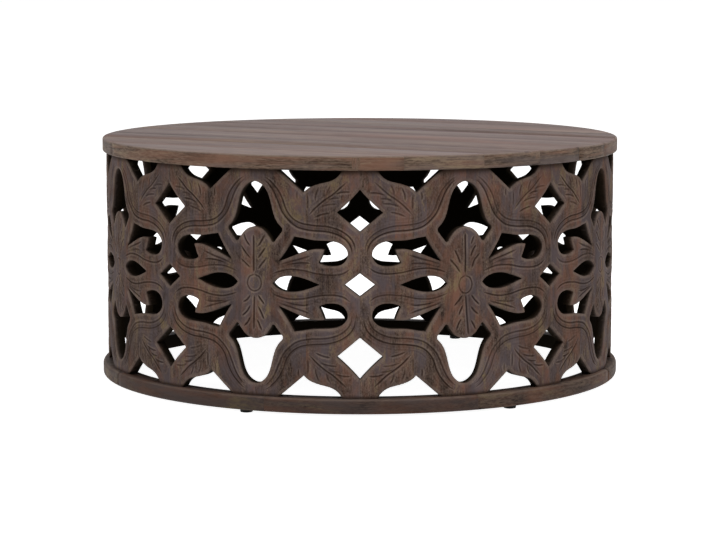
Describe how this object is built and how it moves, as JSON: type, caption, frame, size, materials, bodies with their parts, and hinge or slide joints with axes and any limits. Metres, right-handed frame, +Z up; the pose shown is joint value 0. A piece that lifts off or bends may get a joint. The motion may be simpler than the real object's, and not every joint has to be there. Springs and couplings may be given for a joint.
{
  "type": "drum table",
  "caption": "Round low drum-shaped table: a pierced, carved wooden wall on a base ring with small feet, under a flat boarded round top.",
  "frame": {"origin": "centre of the circle that the table stands on, at floor level", "axes": "+Z up, -Y the side the picture shows, +X to its right"},
  "size_m": [0.9204, 0.9204, 0.428],
  "materials": {
    "wall_wood": "matte washed carved hardwood",
    "top_wood": "matte washed planed hardwood",
    "ring_wood": "matte washed hardwood",
    "dowel_wood": "plain hardwood",
    "foot_plastic": "black moulded",
    "nail_steel": "plain steel"
  },
  "bodies": {
    "root": {"base_dowels": "dowel_wood", "base_ring_segment_1": "ring_wood", "base_ring_segment_2": "ring_wood", "base_ring_segment_3": "ring_wood", "base_ring_segment_4": "ring_wood", "base_ring_segment_5": "ring_wood", "base_ring_segment_6": "ring_wood", "base_ring_segment_7": "ring_wood", "base_ring_segment_8": "ring_wood", "foot_1": "foot_plastic", "foot_2": "foot_plastic", "foot_3": "foot_plastic", "foot_4": "foot_plastic", "foot_5": "foot_plastic", "foot_6": "foot_plastic", "foot_nails": "nail_steel", "leaf_stave_left_1": "wall_wood", "leaf_stave_left_2": "wall_wood", "leaf_stave_left_3": "wall_wood", "leaf_stave_left_4": "wall_wood", "leaf_stave_left_5": "wall_wood", "leaf_stave_left_6": "wall_wood", "leaf_stave_left_7": "wall_wood", "leaf_stave_left_8": "wall_wood", "leaf_stave_right_1": "wall_wood", "leaf_stave_right_2": "wall_wood", "leaf_stave_right_3": "wall_wood", "leaf_stave_right_4": "wall_wood", "leaf_stave_right_5": "wall_wood", "leaf_stave_right_6": "wall_wood", "leaf_stave_right_7": "wall_wood", "leaf_stave_right_8": "wall_wood", "medallion_stave_left_1": "wall_wood", "medallion_stave_left_2": "wall_wood", "medallion_stave_left_3": "wall_wood", "medallion_stave_left_4": "wall_wood", "medallion_stave_left_5": "wall_wood", "medallion_stave_left_6": "wall_wood", "medallion_stave_left_7": "wall_wood", "medallion_stave_left_8": "wall_wood", "medallion_stave_right_1": "wall_wood", "medallion_stave_right_2": "wall_wood", "medallion_stave_right_3": "wall_wood", "medallion_stave_right_4": "wall_wood", "medallion_stave_right_5": "wall_wood", "medallion_stave_right_6": "wall_wood", "medallion_stave_right_7": "wall_wood", "medallion_stave_right_8": "wall_wood", "ring_dowels": "dowel_wood", "top_board_1": "top_wood", "top_board_2": "top_wood", "top_board_3": "top_wood", "top_board_4": "top_wood", "top_board_5": "top_wood", "top_board_6": "top_wood", "top_board_7": "top_wood", "top_board_8": "top_wood", "top_board_9": "top_wood", "top_dowels": "dowel_wood"}
  },
  "joints": []
}
